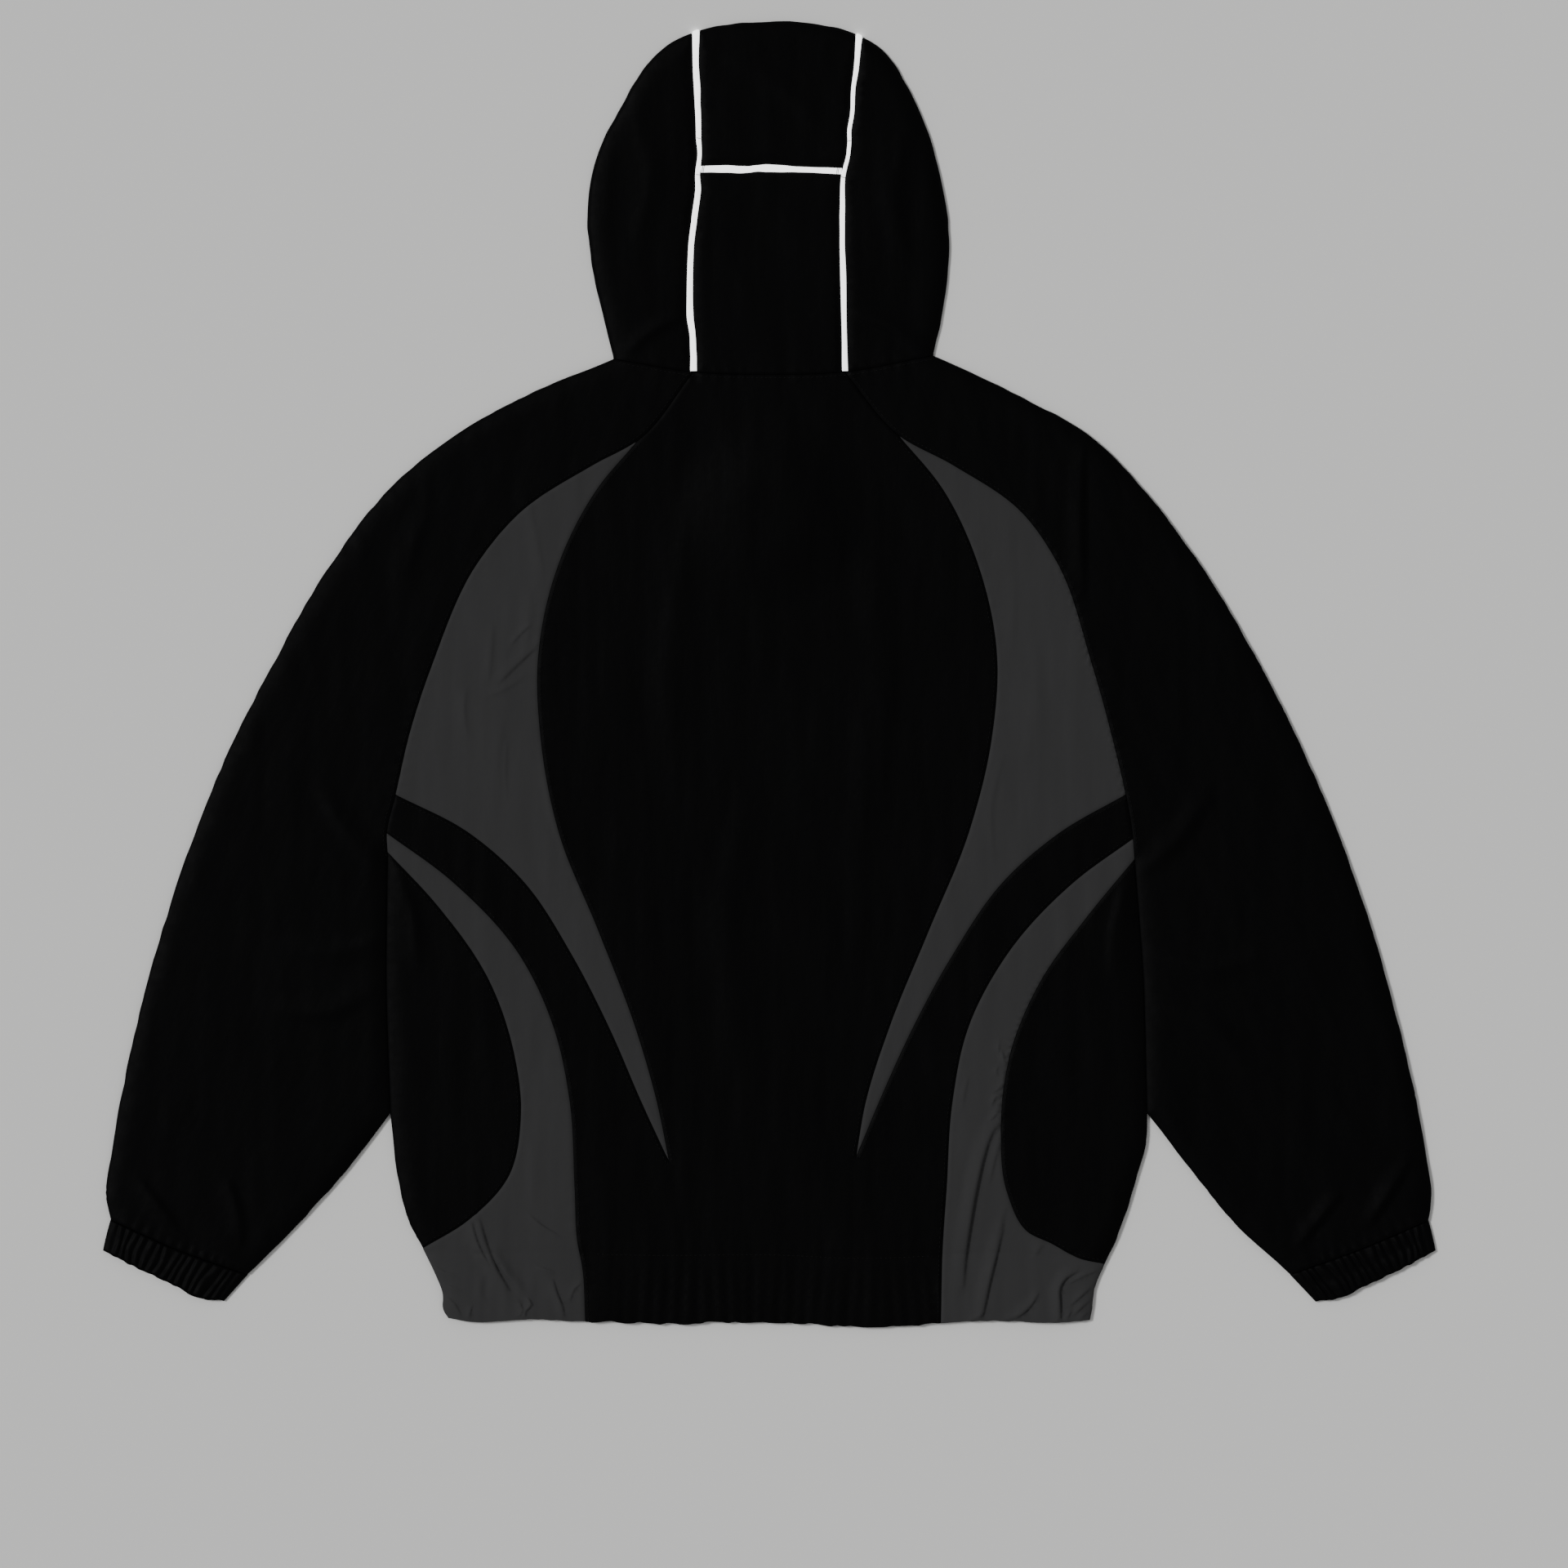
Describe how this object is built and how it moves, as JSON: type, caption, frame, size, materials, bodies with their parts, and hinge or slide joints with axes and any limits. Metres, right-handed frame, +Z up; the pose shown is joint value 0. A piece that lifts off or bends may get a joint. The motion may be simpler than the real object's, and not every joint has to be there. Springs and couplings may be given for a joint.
{
  "type": "hooded track jacket",
  "caption": "Zip-front raglan track jacket with a piped hood, dark with gray curved back insets, zipped up and laid flat on its front.",
  "frame": {"origin": "middle of the jacket's footprint, on the surface that it lies on", "axes": "+X across the shoulders to the right as the back is seen, +Y from hem to hood, +Z up out of the back"},
  "size_m": [0.9796, 0.9583, 0.011],
  "materials": {
    "black_cloth": "black plain-weave polyester shell, matte with a faint sheen",
    "gray_cloth": "dark gray plain-weave polyester shell, matte with a faint sheen",
    "reflective": "silver-white retroreflective piping",
    "zip_tape": "black woven zip tape with coil teeth",
    "zip_metal": "black enamelled zinc"
  },
  "bodies": {
    "jacket": {"back_center": "black_cloth", "back_side_left": "black_cloth", "back_side_right": "black_cloth", "sleeve_back_left": "black_cloth", "sleeve_back_right": "black_cloth", "sleeve_front_left": "black_cloth", "sleeve_front_right": "black_cloth", "front_left": "black_cloth", "front_right": "black_cloth", "hood_nape": "black_cloth", "hood_crown": "black_cloth", "hood_side_left": "black_cloth", "hood_side_right": "black_cloth", "cuff_left": "black_cloth", "cuff_right": "black_cloth", "back_upper_inset_left": "gray_cloth", "back_upper_inset_right": "gray_cloth", "back_lower_inset_left": "gray_cloth", "back_lower_inset_right": "gray_cloth", "piping_left": "reflective", "piping_right": "reflective", "piping_cross": "reflective", "zip_left": "zip_tape", "zip_right": "zip_tape", "zip_slider": "zip_metal"},
    "pull_tab": {"zip_pull": "zip_metal"}
  },
  "joints": [
    {"name": "pull_hinge", "type": "hinge", "parent": "jacket", "child": "pull_tab", "pos_m": [0, 0.1205, 0.0022], "axis": [1, 0, 0], "range_deg": [0, 170]}
  ]
}
